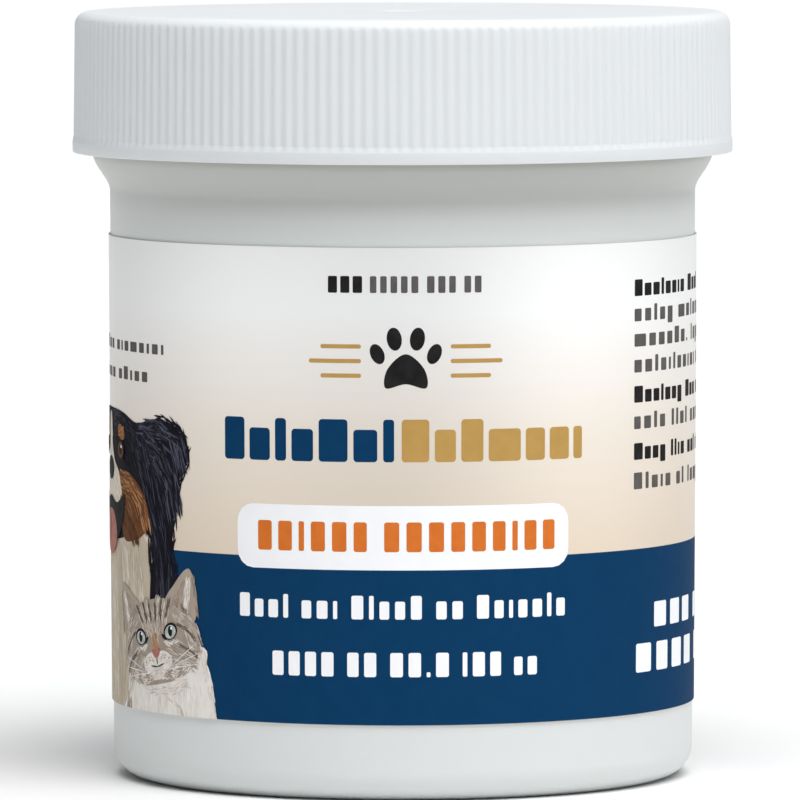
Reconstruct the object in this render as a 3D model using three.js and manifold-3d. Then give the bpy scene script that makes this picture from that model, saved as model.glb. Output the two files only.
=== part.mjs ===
// A round screw-cap powder jar: a thin-walled moulded jar with a threaded neck, its wrap-round
// paper label, the powder inside, a foam sealing disc and a finely ribbed screw cap.
// Millimetres, +Z up. The jar stands on z = 0 with its axis on the Z axis, and the front of the
// label faces -Y.

import * as THREE from 'three';
import { mergeVertices } from 'three/addons/utils/BufferGeometryUtils.js';
import Module from 'manifold-3d';

const wasm = await Module();
wasm.setup();

// Screw cap
const CAP_TOP = 64.4;
const CAP_HEIGHT = 11.8;
const CAP_BAND_RADIUS = 27.8;
const CAP_RIB_RADIUS_LOW = 27.74;
const CAP_RIB_RADIUS_HIGH = 27.66;
const CAP_CORNER_RADIUS = 1.5;
const CAP_PANEL = 1.2;
const CAP_BORE_RADIUS = 26.45;
const CAP_BORE_LEAD_IN = 0.4;
const BAND_HEIGHT = 0.97;
const RIB_FOOT_HEIGHT = 1.42;
const RIB_COUNT = 180;
const RIB_DEPTH = 0.15;

// Sealing disc, clamped between the cap's panel and the jar's rim
const LINER_RADIUS = 26.2;
const LINER_THICKNESS = 1.0;
const SEAT_GAP = 0.02;

// Jar body
const BODY_RADIUS_LOW = 24.42;
const BODY_RADIUS_HIGH = 24.66;
const BODY_WALL = 1.2;
const HEEL_RADIUS = 2.5;
const BASE_RECESS = 0.6;
const BASE_THICKNESS = 1.5;
const FOOT_INNER_RADIUS = 19.6;
const FLARE_START = 49.3;
const INNER_HEEL_RADIUS = 2.2;

// Shoulder bead and neck
const BEAD_RADIUS = 26.2;
const BEAD_TOP = 53.2;
const BEAD_EDGE = 0.2;
const NECK_RADIUS = 25.05;
const NECK_FILLET = 0.3;
const MOUTH_RADIUS = 23.75;
const MOUTH_EDGE = 0.3;
const RIM_ROUND = 0.4;

// Thread, one start and right-handed
const THREAD_PITCH = 25.4 / 6;
const THREAD_TURNS = 1;
const THREAD_FADE_TURNS = 0.06;
const THREAD_START_TURN = 0.4;
const THREAD_ANCHOR = 0.3;
const JAR_THREAD_CREST_RADIUS = 26.2;
const JAR_THREAD_ROOT_WIDTH = 2.2;
const JAR_THREAD_CREST_WIDTH = 0.9;
const JAR_THREAD_START = 56.3;
const CAP_THREAD_CREST_RADIUS = 25.4;
const CAP_THREAD_ROOT_WIDTH = 2.0;
const CAP_THREAD_CREST_WIDTH = 0.8;
const CAP_THREAD_DROP = 1.5;

// Label
const LABEL_LOW = 6.4;
const LABEL_HIGH = 45.7;
const LABEL_THICKNESS = 0.12;
const LABEL_STANDOFF = 0.03;
const LABEL_SEAM_GAP = 1.2;

// Powder
const POWDER_EDGE_HEIGHT = 43.2;
const POWDER_CENTRE_HEIGHT = 44.0;
const POWDER_CLEARANCE = 0.1;

// Fineness of round shapes
const ROUND_STEPS = 72;
const ARC_DIVISIONS = 2;

// Heights and radii worked out from the dimensions above
const SKIRT_LOW = CAP_TOP - CAP_HEIGHT;
const PANEL_UNDERSIDE = CAP_TOP - CAP_PANEL;
const LINER_HIGH = PANEL_UNDERSIDE - SEAT_GAP;
const LINER_LOW = LINER_HIGH - LINER_THICKNESS;
const RIM_HEIGHT = LINER_LOW - SEAT_GAP;
const FLOOR_HEIGHT = BASE_RECESS + BASE_THICKNESS;

function bodyRadius(height) {
  return THREE.MathUtils.mapLinear(
    height, HEEL_RADIUS, FLARE_START, BODY_RADIUS_LOW, BODY_RADIUS_HIGH);
}

// The outline's x is the radius and its y is the height.
function turned(outline, steps = ROUND_STEPS) {
  const geometry = new THREE.LatheGeometry(outline.getPoints(ARC_DIVISIONS), steps);
  geometry.rotateX(Math.PI / 2);
  return geometry;
}

function toSolid(geometry) {
  const bare = geometry.clone();
  bare.deleteAttribute('normal');
  bare.deleteAttribute('uv');
  const merged = mergeVertices(bare);
  const corners = merged.index.array;
  const triangles = [];
  for (let i = 0; i < corners.length; i += 3) {
    const [a, b, c] = corners.slice(i, i + 3);
    if (a !== b && b !== c && c !== a) triangles.push(a, b, c);
  }
  return new wasm.Manifold(new wasm.Mesh({
    numProp: 3,
    vertProperties: new Float32Array(merged.attributes.position.array),
    triVerts: new Uint32Array(triangles),
  }));
}

function toGeometry(solid) {
  const mesh = solid.getMesh();
  const geometry = new THREE.BufferGeometry();
  geometry.setAttribute('position', new THREE.BufferAttribute(mesh.vertProperties, 3));
  geometry.setIndex(new THREE.BufferAttribute(mesh.triVerts, 1));
  geometry.computeVertexNormals();
  return geometry;
}

// A trapezoid ridge that climbs one pitch a turn and shrinks into its root line at both ends.
function threadRidge(section, rootRadius, startHeight) {
  const steps = ROUND_STEPS * THREAD_TURNS;
  const geometry = new THREE.LatheGeometry(section, steps);
  const position = geometry.attributes.position;
  for (let step = 0; step <= steps; step += 1) {
    const turns = (step / steps) * THREAD_TURNS;
    const angle = (THREAD_START_TURN + turns) * 2 * Math.PI;
    const fullness = Math.min(1, turns / THREAD_FADE_TURNS, (THREAD_TURNS - turns) / THREAD_FADE_TURNS);
    section.forEach((corner, index) => {
      const radius = THREE.MathUtils.lerp(rootRadius, corner.x, fullness);
      const height = startHeight + turns * THREAD_PITCH + corner.y * fullness;
      position.setXYZ(
        step * section.length + index, radius * Math.sin(angle), -radius * Math.cos(angle), height);
    });
  }
  return toSolid(geometry);
}

function ridgeSection(innerRadius, innerWidth, outerRadius, outerWidth) {
  const first = new THREE.Vector2(innerRadius, -innerWidth / 2);
  return [
    first,
    new THREE.Vector2(outerRadius, -outerWidth / 2),
    new THREE.Vector2(outerRadius, outerWidth / 2),
    new THREE.Vector2(innerRadius, innerWidth / 2),
    first,
  ];
}

// From the middle of the recessed base, round the outside, over the rim and down to the floor.
function jarOutline() {
  const outline = new THREE.Path();
  const innerRadiusLow = BODY_RADIUS_LOW - BODY_WALL;
  const innerHeelHeight = FLOOR_HEIGHT + INNER_HEEL_RADIUS;
  const heelCentre = BODY_RADIUS_LOW - HEEL_RADIUS;
  outline.moveTo(0, BASE_RECESS);
  outline.lineTo(FOOT_INNER_RADIUS - BASE_RECESS, BASE_RECESS);
  outline.lineTo(FOOT_INNER_RADIUS, 0);
  outline.lineTo(heelCentre, 0);
  outline.absarc(heelCentre, HEEL_RADIUS, HEEL_RADIUS, -Math.PI / 2, 0);
  outline.lineTo(BODY_RADIUS_HIGH, FLARE_START);
  outline.bezierCurveTo(
    BODY_RADIUS_HIGH, FLARE_START + 1.1, BEAD_RADIUS - 0.95, FLARE_START + 1.65,
    BEAD_RADIUS - 0.29, FLARE_START + 2.74);
  outline.bezierCurveTo(
    BEAD_RADIUS - 0.1, FLARE_START + 3.05, BEAD_RADIUS, FLARE_START + 3.3,
    BEAD_RADIUS, BEAD_TOP - BEAD_EDGE);
  outline.lineTo(BEAD_RADIUS - BEAD_EDGE, BEAD_TOP);
  outline.lineTo(NECK_RADIUS + NECK_FILLET, BEAD_TOP);
  outline.lineTo(NECK_RADIUS, BEAD_TOP + NECK_FILLET);
  outline.lineTo(NECK_RADIUS, RIM_HEIGHT - RIM_ROUND);
  outline.absarc(NECK_RADIUS - RIM_ROUND, RIM_HEIGHT - RIM_ROUND, RIM_ROUND, 0, Math.PI / 2);
  outline.lineTo(MOUTH_RADIUS + MOUTH_EDGE, RIM_HEIGHT);
  outline.lineTo(MOUTH_RADIUS, RIM_HEIGHT - MOUTH_EDGE);
  outline.lineTo(MOUTH_RADIUS, BEAD_TOP);
  outline.lineTo(BODY_RADIUS_HIGH - BODY_WALL, FLARE_START);
  outline.lineTo(innerRadiusLow, innerHeelHeight);
  outline.absarc(
    innerRadiusLow - INNER_HEEL_RADIUS, innerHeelHeight, INNER_HEEL_RADIUS, 0, -Math.PI / 2, true);
  outline.lineTo(0, FLOOR_HEIGHT);
  return outline;
}

function jarBody() {
  const anchorRadius = NECK_RADIUS - THREAD_ANCHOR;
  const section = ridgeSection(
    anchorRadius, JAR_THREAD_ROOT_WIDTH, JAR_THREAD_CREST_RADIUS, JAR_THREAD_CREST_WIDTH);
  const ridge = threadRidge(section, anchorRadius, JAR_THREAD_START);
  return toGeometry(toSolid(turned(jarOutline())).add(ridge));
}

// A strip as thick as the label wrapped onto the slightly conical wall, open at the seam.
function wrapLabel() {
  const outline = new THREE.Path();
  const innerLow = bodyRadius(LABEL_LOW) + LABEL_STANDOFF;
  const innerHigh = bodyRadius(LABEL_HIGH) + LABEL_STANDOFF;
  outline.moveTo(innerLow, LABEL_LOW);
  outline.lineTo(innerLow + LABEL_THICKNESS, LABEL_LOW);
  outline.lineTo(innerHigh + LABEL_THICKNESS, LABEL_HIGH);
  outline.lineTo(innerHigh, LABEL_HIGH);
  outline.closePath();
  const seam = new THREE.BoxGeometry(LABEL_SEAM_GAP, 4, LABEL_HIGH + LABEL_LOW);
  seam.translate(0, innerHigh, (LABEL_HIGH + LABEL_LOW) / 2);
  return toGeometry(toSolid(turned(outline)).subtract(toSolid(seam)));
}

function powderFill() {
  const outline = new THREE.Path();
  const bottom = FLOOR_HEIGHT + POWDER_CLEARANCE;
  const wallLow = BODY_RADIUS_LOW - BODY_WALL - POWDER_CLEARANCE;
  const wallHigh = bodyRadius(POWDER_EDGE_HEIGHT) - BODY_WALL - POWDER_CLEARANCE;
  const heelHeight = bottom + INNER_HEEL_RADIUS;
  outline.moveTo(0, bottom);
  outline.lineTo(wallLow - INNER_HEEL_RADIUS, bottom);
  outline.absarc(wallLow - INNER_HEEL_RADIUS, heelHeight, INNER_HEEL_RADIUS, -Math.PI / 2, 0);
  outline.lineTo(wallHigh, POWDER_EDGE_HEIGHT);
  outline.quadraticCurveTo(wallHigh / 2, POWDER_CENTRE_HEIGHT, 0, POWDER_CENTRE_HEIGHT);
  return turned(outline);
}

function capLiner() {
  const outline = new THREE.Path();
  outline.moveTo(0, LINER_LOW);
  outline.lineTo(LINER_RADIUS, LINER_LOW);
  outline.lineTo(LINER_RADIUS, LINER_HIGH);
  outline.lineTo(0, LINER_HIGH);
  return turned(outline);
}

function capOutline() {
  const outline = new THREE.Path();
  const cornerHeight = CAP_TOP - CAP_CORNER_RADIUS;
  outline.moveTo(0, SKIRT_LOW);
  outline.lineTo(CAP_BAND_RADIUS, SKIRT_LOW);
  outline.lineTo(CAP_BAND_RADIUS, SKIRT_LOW + BAND_HEIGHT);
  outline.lineTo(CAP_RIB_RADIUS_LOW, SKIRT_LOW + RIB_FOOT_HEIGHT);
  outline.lineTo(CAP_RIB_RADIUS_HIGH, cornerHeight);
  outline.absarc(
    CAP_RIB_RADIUS_HIGH - CAP_CORNER_RADIUS, cornerHeight, CAP_CORNER_RADIUS, 0, Math.PI / 2);
  outline.lineTo(0, CAP_TOP);
  return outline;
}

// Straight grooves between the ribs: each starts above the smooth band and runs out where the
// rounded top corner passes inside its floor.
function cutGrooves(geometry) {
  const position = geometry.attributes.position;
  const columnLength = position.count / (2 * RIB_COUNT + 1);
  for (let i = 0; i < position.count; i += 1) {
    const isGroove = Math.floor(i / columnLength) % 2 === 1;
    const height = position.getZ(i);
    if (!isGroove || height < SKIRT_LOW + RIB_FOOT_HEIGHT - SEAT_GAP) continue;
    const ribRadius = THREE.MathUtils.mapLinear(
      height, SKIRT_LOW + RIB_FOOT_HEIGHT, CAP_TOP, CAP_RIB_RADIUS_LOW, CAP_RIB_RADIUS_HIGH);
    const radius = Math.hypot(position.getX(i), position.getY(i));
    const scale = Math.min(1, (ribRadius - RIB_DEPTH) / Math.max(radius, RIB_DEPTH));
    position.setXY(i, position.getX(i) * scale, position.getY(i) * scale);
  }
  return geometry;
}

function capHollow() {
  const outline = new THREE.Path();
  const mouthRadius = CAP_BORE_RADIUS + CAP_BORE_LEAD_IN;
  outline.moveTo(0, SKIRT_LOW - 1);
  outline.lineTo(mouthRadius, SKIRT_LOW - 1);
  outline.lineTo(mouthRadius, SKIRT_LOW);
  outline.lineTo(CAP_BORE_RADIUS, SKIRT_LOW + CAP_BORE_LEAD_IN);
  outline.lineTo(CAP_BORE_RADIUS, PANEL_UNDERSIDE);
  outline.lineTo(0, PANEL_UNDERSIDE);
  return turned(outline);
}

function screwCap() {
  const anchorRadius = CAP_BORE_RADIUS + THREAD_ANCHOR;
  const section = ridgeSection(
    CAP_THREAD_CREST_RADIUS, CAP_THREAD_CREST_WIDTH, anchorRadius, CAP_THREAD_ROOT_WIDTH);
  const ridge = threadRidge(section, anchorRadius, JAR_THREAD_START - CAP_THREAD_DROP);
  const shell = toSolid(cutGrooves(turned(capOutline(), 2 * RIB_COUNT)));
  return toGeometry(shell.subtract(toSolid(capHollow())).add(ridge));
}

function piece(name, geometry, color, roughness) {
  const material = new THREE.MeshStandardMaterial({ color, roughness, metalness: 0 });
  const mesh = new THREE.Mesh(geometry, material);
  mesh.name = name;
  return mesh;
}

const powderJar = new THREE.Group();
powderJar.add(piece('jar_body', jarBody(), 0xe6e8e8, 0.45));
powderJar.add(piece('wrap_label', wrapLabel(), 0xeee4d8, 0.5));
powderJar.add(piece('powder_fill', powderFill(), 0xefe9dc, 0.95));
powderJar.add(piece('cap_liner', capLiner(), 0xf6f6f4, 0.8));
powderJar.add(piece('screw_cap', screwCap(), 0xeff1f3, 0.4));

export default powderJar;
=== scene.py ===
# %% [markdown]
# # A screw-cap powder jar
# The real object is five things: a moulded jar, the paper label wrapped round it, the powder in
# it, a foam disc that seals it and a ribbed screw cap. Sizes and moving bodies are already
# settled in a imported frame. This lesson makes the fine surfaces that a viewer sees.

# %% Load the frame
import math
import random

import bmesh
import bpy
from mathutils import Matrix, Vector, geometry, noise


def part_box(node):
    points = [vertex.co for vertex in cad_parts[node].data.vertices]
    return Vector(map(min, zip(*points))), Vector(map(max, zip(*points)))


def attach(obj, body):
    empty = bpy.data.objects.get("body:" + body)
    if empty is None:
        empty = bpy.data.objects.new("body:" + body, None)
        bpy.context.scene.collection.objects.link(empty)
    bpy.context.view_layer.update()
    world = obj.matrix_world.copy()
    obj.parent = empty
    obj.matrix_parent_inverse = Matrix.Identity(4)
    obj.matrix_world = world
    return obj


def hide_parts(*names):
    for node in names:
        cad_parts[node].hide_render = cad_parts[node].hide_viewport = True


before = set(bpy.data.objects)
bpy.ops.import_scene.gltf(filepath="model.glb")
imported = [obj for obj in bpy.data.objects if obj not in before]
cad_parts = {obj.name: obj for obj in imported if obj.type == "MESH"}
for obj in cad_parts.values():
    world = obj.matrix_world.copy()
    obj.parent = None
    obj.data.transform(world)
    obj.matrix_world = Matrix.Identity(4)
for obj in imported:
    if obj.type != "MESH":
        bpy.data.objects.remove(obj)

MM = 0.001
FULL_TURN = 2 * math.pi
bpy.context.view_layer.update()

# %% [markdown]
# ## The camera
# A product picture is taken from far away with a long lens, so that a round jar stays almost
# free of perspective. The camera stands in front of the label, a little above the cap, and tips
# down by a few degrees, which shows a thin slice of the cap's top.

# %% Camera
CAMERA_DISTANCE = 0.830
CAMERA_HEIGHT = 0.0875
CAMERA_PITCH = 0.0673
CAMERA_ROLL = 0.001
CAMERA_ASIDE = -0.00018
CAMERA_LENS = 443.3

camera_data = bpy.data.cameras.new("camera")
camera_data.lens = CAMERA_LENS
camera_data.sensor_width = 36
camera_data.clip_start = 0.05
camera_data.clip_end = 20
camera = bpy.data.objects.new("camera", camera_data)
camera.location = (CAMERA_ASIDE, -CAMERA_DISTANCE, CAMERA_HEIGHT)
camera.rotation_euler = (math.pi / 2 - CAMERA_PITCH, CAMERA_ROLL, 0)
scene = bpy.context.scene
scene.collection.objects.link(camera)
scene.camera = camera
print("camera stands", CAMERA_DISTANCE, "m in front of the axis")

# %% [markdown]
# ## Node helpers
# The sky and every finish are small networks of nodes. A few helpers keep each network short
# enough to read: they make a node with its values, link two sockets, do sums, move a value to
# another range and read where a point lies.


# %% Nodes
def add_node(owner, kind, **inputs):
    """A node for a material or the sky, with some of its inputs set."""
    node = owner.node_tree.nodes.new(kind)
    for socket, value in inputs.items():
        node.inputs[socket.replace("_", " ")].default_value = value
    return node


def link(owner, source, target):
    owner.node_tree.links.new(source, target)


def maths(owner, operation, *values):
    """A Math node. Each value is a number or the output of another node."""
    node = add_node(owner, "ShaderNodeMath")
    node.operation = operation
    for socket, value in zip(node.inputs, values):
        if isinstance(value, bpy.types.NodeSocket):
            link(owner, value, socket)
        else:
            socket.default_value = value
    return node.outputs["Value"]


def new_range(owner, source, low, high, new_low=0.0, new_high=1.0):
    """Moves values between low and high to the new range."""
    node = add_node(
        owner, "ShaderNodeMapRange", From_Min=low, From_Max=high, To_Min=new_low, To_Max=new_high)
    link(owner, source, node.inputs["Value"])
    return node.outputs["Result"]


def point_of(owner, coordinates="Object"):
    """The X, Y and Z of each point of a surface, or of each direction in the sky."""
    place = add_node(owner, "ShaderNodeTexCoord")
    split = add_node(owner, "ShaderNodeSeparateXYZ")
    link(owner, place.outputs[coordinates], split.inputs["Vector"])
    return split.outputs


def shader_of(material):
    return material.node_tree.nodes["Principled BSDF"]


def base_material(name, colour, roughness, **sockets):
    """A material with one Principled shader, and some of the shader's own sockets set."""
    material = bpy.data.materials.new(name)
    material.use_nodes = True
    shader = shader_of(material)
    shader.inputs["Base Color"].default_value = (*colour, 1)
    shader.inputs["Roughness"].default_value = roughness
    for socket, value in sockets.items():
        shader.inputs[socket.replace("_", " ")].default_value = value
    return material


print("node helpers ready")

# %% [markdown]
# ## Floor and light
# White plastic needs a soft light with a direction, or its form disappears. The main light
# comes from high on the right, a second from straight above, and a weak one from the right
# side. Each is a sun with a wide disc: its shadows are soft, and it lights the pale floor
# evenly as far as the camera can see, so the floor looks plain white. A dim sky does the rest.
# A low camera sees past the floor's end. What it sees there is white too, by a node that tells
# the camera's own rays from the rays that carry light, so this white lights nothing.

# %% Studio
scene.view_settings.view_transform = "Standard"
scene.view_settings.look = "None"

SKY_COLOUR = (0.95, 0.98, 1.0)
SKY_LEFT = 0.13
SKY_RIGHT = 0.28
SKY_SEEN = 1.2
FLOOR_HALF = 6.0
FLOOR_GREY = (0.83, 0.83, 0.83)

sky = bpy.data.worlds.new("sky")
scene.world = sky
sky.use_nodes = True
sky_shader = sky.node_tree.nodes["Background"]
sky_shader.inputs["Color"].default_value = (*SKY_COLOUR, 1)
sky_light = new_range(sky, point_of(sky, "Generated")["X"], -1, 1, SKY_LEFT, SKY_RIGHT)
sky_rays = add_node(sky, "ShaderNodeLightPath")
sky_strength = maths(sky, "MULTIPLY_ADD", sky_rays.outputs["Is Camera Ray"], SKY_SEEN, sky_light)
link(sky, sky_strength, sky_shader.inputs["Strength"])


def soft_sun(name, side_degrees, height_degrees, disc_degrees, brightness):
    """A wide sun. Side is turned from the front to the right. Brightness is what it gives to a
    white sheet that faces it."""
    data = bpy.data.lights.new(name, "SUN")
    data.angle = math.radians(disc_degrees)
    data.energy = brightness * math.pi
    sun = bpy.data.objects.new(name, data)
    sun.rotation_euler = (math.radians(90 - height_degrees), 0, math.radians(side_degrees))
    scene.collection.objects.link(sun)


soft_sun("main light", side_degrees=23, height_degrees=62, disc_degrees=46, brightness=0.80)
soft_sun("overhead light", side_degrees=0, height_degrees=85, disc_degrees=60, brightness=0.35)
soft_sun("side light", side_degrees=85, height_degrees=20, disc_degrees=60, brightness=0.10)

floor_mesh = bpy.data.meshes.new("floor")
floor_bm = bmesh.new()
bmesh.ops.create_grid(floor_bm, x_segments=1, y_segments=1, size=FLOOR_HALF)
floor_bm.to_mesh(floor_mesh)
floor_bm.free()
floor = bpy.data.objects.new("floor", floor_mesh)
scene.collection.objects.link(floor)
floor_mesh.materials.append(base_material("pale floor", FLOOR_GREY, 0.9))

# %% [markdown]
# ## Helpers for round pieces
# Nearly every piece here is turned about the jar's axis. Its outline is a short list of corners,
# each with a rounding, and bmesh's spin operator turns it into a surface. A rounding is an arc
# that touches both sides of its corner, so no corner is ever razor sharp.


# %% Outlines and turning
FINE = 0.15
BROAD = 1.0
MERGE = 1e-6


def rounded(corners):
    """Corners as (radius, height, rounding) in mm. The first and the last stay sharp. A fine
    rounding gets two segments, a broad one eight and any other four."""
    path = [Vector(corners[0][:2])]
    for before, corner, after in zip(corners, corners[1:], corners[2:]):
        here = Vector(corner[:2])
        if corner[2] == 0:
            path.append(here)
            continue
        back = (Vector(before[:2]) - here).normalized()
        on = (Vector(after[:2]) - here).normalized()
        half = back.angle(on) / 2
        reach = corner[2] / math.tan(half)
        centre = here + (back + on).normalized() * (corner[2] / math.sin(half))
        start = (here + back * reach - centre).normalized()
        end = (here + on * reach - centre).normalized()
        steps = 2 if corner[2] < FINE else 4 if corner[2] < BROAD else 8
        path += [centre + corner[2] * start.slerp(end, step / steps) for step in range(steps + 1)]
    return path + [Vector(corners[-1][:2])]


def turned(path, steps, sectors=12):
    """Spins an outline in mm about the Z axis: first one sector, then its copies all round."""
    bm = bmesh.new()
    verts = [bm.verts.new((point.x * MM, 0, point.y * MM)) for point in path]
    edges = [bm.edges.new(pair) for pair in zip(verts, verts[1:])]
    sector = FULL_TURN / sectors
    bmesh.ops.spin(
        bm, geom=verts + edges, cent=(0, 0, 0), axis=(0, 0, 1), dvec=(0, 0, 0),
        angle=sector, steps=steps // sectors)
    bmesh.ops.spin(
        bm, geom=bm.verts[:] + bm.edges[:] + bm.faces[:], cent=(0, 0, 0), axis=(0, 0, 1),
        dvec=(0, 0, 0), angle=FULL_TURN - sector, steps=sectors - 1, use_duplicate=True)
    bmesh.ops.remove_doubles(bm, verts=bm.verts, dist=MERGE)
    bmesh.ops.recalc_face_normals(bm, faces=bm.faces)
    return bm


def finished(name, bm, body, material, replaced=None, sharp=35):
    """Makes the bmesh a piece that rides on a body, smooth but for edges over sharp degrees."""
    mesh = bpy.data.meshes.new(name)
    for face in bm.faces:
        face.smooth = True
    bm.to_mesh(mesh)
    bm.free()
    mesh.set_sharp_from_angle(angle=math.radians(sharp))
    mesh.materials.append(material)
    piece = bpy.data.objects.new(name, mesh)
    scene.collection.objects.link(piece)
    if replaced:
        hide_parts(replaced)
    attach(piece, body)
    print(name, "has", len(mesh.polygons), "faces")
    return piece


# %% [markdown]
# ## Helpers for finishes
# Moulded plastic and printed paper are never perfectly even. Each material starts from the
# Principled shader, and noise in the piece's own coordinates then varies its colour, its
# roughness and its surface height by small amounts.


# %% Finishes
def own_noise(material, scale, detail=3.0, stretch=(1, 1, 1)):
    """Noise in the piece's own coordinates. Scale is in features a metre."""
    place = add_node(material, "ShaderNodeTexCoord")
    mapping = add_node(material, "ShaderNodeMapping", Scale=stretch)
    pattern = add_node(material, "ShaderNodeTexNoise", Scale=scale, Detail=detail)
    link(material, place.outputs["Object"], mapping.inputs["Vector"])
    link(material, mapping.outputs["Vector"], pattern.inputs["Vector"])
    return pattern.outputs["Fac"]


def ramp(material, source, stops):
    """A colour ramp fed by source. Stops are (position, colour)."""
    node = add_node(material, "ShaderNodeValToRGB")
    elements = node.color_ramp.elements
    while len(elements) < len(stops):
        elements.new(0.5)
    for element, (position, colour) in zip(elements, stops):
        element.position = position
        element.color = (*colour, 1)
    link(material, source, node.inputs["Fac"])
    return node.outputs["Color"]


def coloured(material, colour):
    link(material, colour, shader_of(material).inputs["Base Color"])


def vary_colour(material, scale, first, second):
    """Drifts softly between two colours."""
    coloured(material, ramp(material, own_noise(material, scale), [(0.35, first), (0.65, second)]))


def vary_roughness(material, scale, low, high):
    """Dulls and shines the surface in soft patches."""
    roughness = new_range(material, own_noise(material, scale), 0, 1, low, high)
    link(material, roughness, shader_of(material).inputs["Roughness"])


def add_relief(material, scale, depth_mm, strength=1.0, detail=3.0):
    """Raises and sinks the surface, in shading only."""
    bump = add_node(material, "ShaderNodeBump", Strength=strength, Distance=depth_mm * MM)
    link(material, own_noise(material, scale, detail), bump.inputs["Height"])
    link(material, bump.outputs["Normal"], shader_of(material).inputs["Normal"])


print("finishes ready")

# %% [markdown]
# ## The plastics
# The cap is polypropylene from a finely blasted mould: a cool white with a broad, satin shine.
# The jar is a softer polyethylene that light enters a little way, so some subsurface scattering
# takes the hardness out of its shading. The flare has nothing behind its wall. The wall just under
# the cap and the flare are painted greyer, and a thin line right under the cap's edge is painted
# darker still: painted shade, where the cap's overhang keeps the light off.

# %% Cap and jar plastics
CAP_WHITE = (0.725, 0.75, 0.765)
JAR_WHITE = (0.71, 0.735, 0.73)
JAR_SHOULDER_PAINTED_SHADE = (0.65, 0.67, 0.66)
JAR_FLARE_PAINTED_SHADE = (0.485, 0.495, 0.475)
JAR_UNDER_CAP_PAINTED_SHADE = (0.38, 0.38, 0.34)
PAINTED_SHADE_FROM = 45
PAINTED_SHADE_TO = 55
GLOW_DEPTH = 1.2

cap_plastic = base_material(
    "satin white polypropylene", CAP_WHITE, 0.5, Subsurface_Weight=0.35,
    Subsurface_Scale=GLOW_DEPTH * MM, Subsurface_Radius=(1.0, 1.0, 1.0),
    Specular_IOR_Level=0.25)
vary_colour(cap_plastic, 45, CAP_WHITE, tuple(0.985 * c for c in CAP_WHITE))
vary_roughness(cap_plastic, 350, 0.46, 0.54)
add_relief(cap_plastic, 2600, 0.006)

jar_plastic = base_material(
    "white polyethylene", JAR_WHITE, 0.42, Subsurface_Weight=0.3,
    Subsurface_Scale=GLOW_DEPTH * MM, Subsurface_Radius=(1.0, 1.0, 0.95), IOR=1.52)
# Painted shade: by height, the colour greys from the wall up the flare, is darkest in a thin line right
# under the cap's edge, and is white again on the neck.
painted_shade_height = new_range(jar_plastic, point_of(jar_plastic)["Z"], PAINTED_SHADE_FROM * MM, PAINTED_SHADE_TO * MM)
coloured(jar_plastic, ramp(
    jar_plastic, painted_shade_height,
    [(0.0, JAR_WHITE), (0.28, JAR_SHOULDER_PAINTED_SHADE), (0.52, JAR_FLARE_PAINTED_SHADE), (0.69, JAR_FLARE_PAINTED_SHADE),
     (0.76, JAR_UNDER_CAP_PAINTED_SHADE), (0.81, JAR_UNDER_CAP_PAINTED_SHADE), (0.84, JAR_WHITE)]))
vary_roughness(jar_plastic, 240, 0.34, 0.46)
add_relief(jar_plastic, 900, 0.012)
print("plastics ready")

# %% [markdown]
# ## The screw thread
# The jar's neck and the cap's bore carry the same right-handed thread. It is a small rounded
# trapezoid, swept round the axis while it climbs. The spin operator does this by itself when
# it is given a climb for each step. The ends are then drawn back into the wall, as a mould
# does, so that the thread starts and stops gently.

# %% Thread sweep
THREAD_PITCH = 25.4 / 6
THREAD_START = math.radians(54)
THREAD_STEPS = 120
THREAD_FADE = 0.07
THREAD_ANCHOR = 0.3
THREAD_ROUNDING = 0.3
END_FULLNESS = 0.05
END_WIDTH = 0.4


def draw_back_ends(bm, root_radius, start_height):
    """Shrinks the first and last few hundredths of a turn towards the root line."""
    for vert in bm.verts:
        angle = math.atan2(vert.co.y, vert.co.x) % FULL_TURN / FULL_TURN
        climbed = (vert.co.z / MM - start_height) / THREAD_PITCH
        turn = angle + round(climbed - angle)
        fullness = min(1, max(END_FULLNESS, min(turn, 1 - turn) / THREAD_FADE))
        width = END_WIDTH + (1 - END_WIDTH) * fullness
        middle_height = (start_height + turn * THREAD_PITCH) * MM
        radius = math.hypot(vert.co.x, vert.co.y)
        wanted = root_radius * MM + (radius - root_radius * MM) * fullness
        vert.co.x *= wanted / radius
        vert.co.y *= wanted / radius
        vert.co.z = middle_height + (vert.co.z - middle_height) * width


def thread_sweep(root_radius, root_width, crest_radius, crest_width, start_height):
    """One turn of thread, in mm, as a closed ridge that reaches a little into its wall."""
    bm = bmesh.new()
    corners = [
        bm.verts.new((radius * MM, 0, (start_height + height) * MM))
        for radius, height in (
            (root_radius, -root_width / 2), (crest_radius, -crest_width / 2),
            (crest_radius, crest_width / 2), (root_radius, root_width / 2))
    ]
    bm.faces.new(corners)
    bmesh.ops.bevel(
        bm, geom=corners[1:3], offset=THREAD_ROUNDING * MM, segments=3, profile=0.5,
        affect="VERTICES", material=-1)
    bmesh.ops.spin(
        bm, geom=bm.verts[:] + bm.edges[:] + bm.faces[:], cent=(0, 0, 0), axis=(0, 0, 1),
        dvec=(0, 0, THREAD_PITCH * MM / THREAD_STEPS), angle=FULL_TURN, steps=THREAD_STEPS)
    draw_back_ends(bm, root_radius, start_height)
    bmesh.ops.rotate(
        bm, verts=bm.verts, cent=(0, 0, 0), matrix=Matrix.Rotation(THREAD_START, 3, "Z"))
    bmesh.ops.recalc_face_normals(bm, faces=bm.faces)
    return bm


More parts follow.
